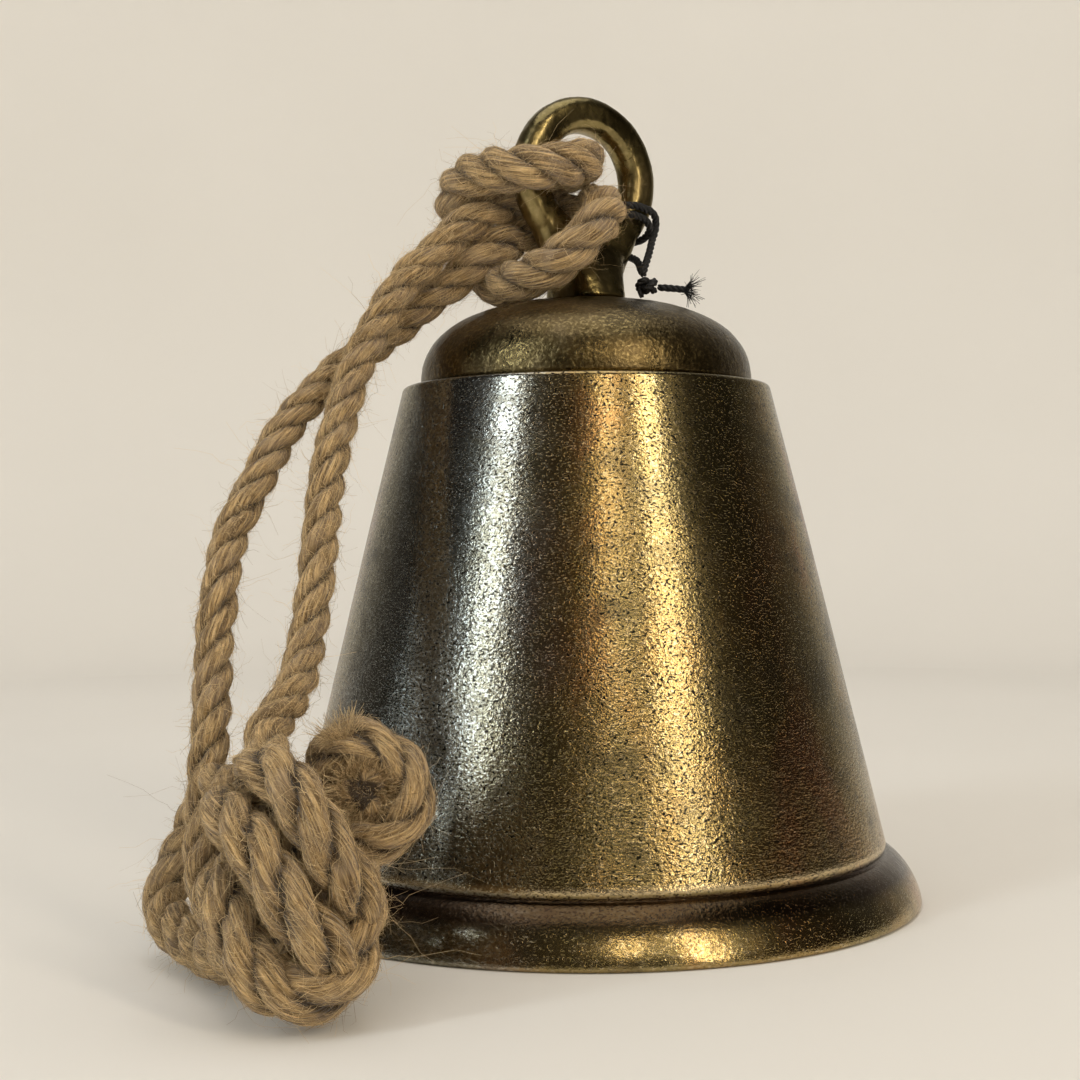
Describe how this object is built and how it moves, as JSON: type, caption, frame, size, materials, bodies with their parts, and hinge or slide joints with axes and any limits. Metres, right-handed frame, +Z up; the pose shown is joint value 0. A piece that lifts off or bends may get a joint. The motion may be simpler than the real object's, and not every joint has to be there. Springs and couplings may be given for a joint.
{
  "type": "ship bell",
  "caption": "Small ship bell with a turned tapering skirt, bulging lip, domed cast crown, hanging eye, free-swinging clapper and a hitched, knotted jute rope.",
  "frame": {"origin": "centre of the mouth, on the surface that the bell stands on", "axes": "+Z up the bell's axis to the hanging eye; the eye lies in the XZ plane, so its hole runs along Y; the rope falls on the -X side"},
  "size_m": [0.1598, 0.1268, 0.1555],
  "materials": {
    "polished_brass": "turned and polished, now antiqued, with fine dark casting pits and horizontal turning lines",
    "cast_brass": "as cast, dark and sandy, worn to gold on its edges",
    "fittings": "dull, lightly tarnished",
    "jute_rope": "three-strand laid jute, hairy",
    "black_cord": "thin twisted cord, slightly waxy"
  },
  "bodies": {
    "bell": {"bell_skirt": "polished_brass", "crown_dome": "cast_brass", "hanging_eye": "cast_brass", "crown_washer": "fittings", "crown_locknut": "fittings", "clapper_staple": "fittings", "rope_hitch": "jute_rope", "rope_right_fall": "jute_rope", "rope_left_fall": "jute_rope", "rope_side_bight": "jute_rope", "rope_knot": "jute_rope", "rope_end_turn": "jute_rope", "rope_cut_end": "jute_rope", "tag_cord_turns": "black_cord", "tag_cord_knot": "black_cord", "tag_cord_tail": "black_cord"},
    "link": {"clapper_link": "fittings"},
    "clapper": {"clapper_rod": "fittings", "clapper_collar": "fittings", "clapper_ball": "polished_brass"}
  },
  "joints": [
    {"name": "link_swing", "type": "hinge", "parent": "bell", "child": "link", "pos_m": [0, 0, 0.0911], "axis": [1, 0, 0], "range_deg": [-31, 31]},
    {"name": "clapper_swing", "type": "hinge", "parent": "link", "child": "clapper", "pos_m": [0, 0, 0.082], "axis": [0, 1, 0], "range_deg": [-15, 15]}
  ]
}
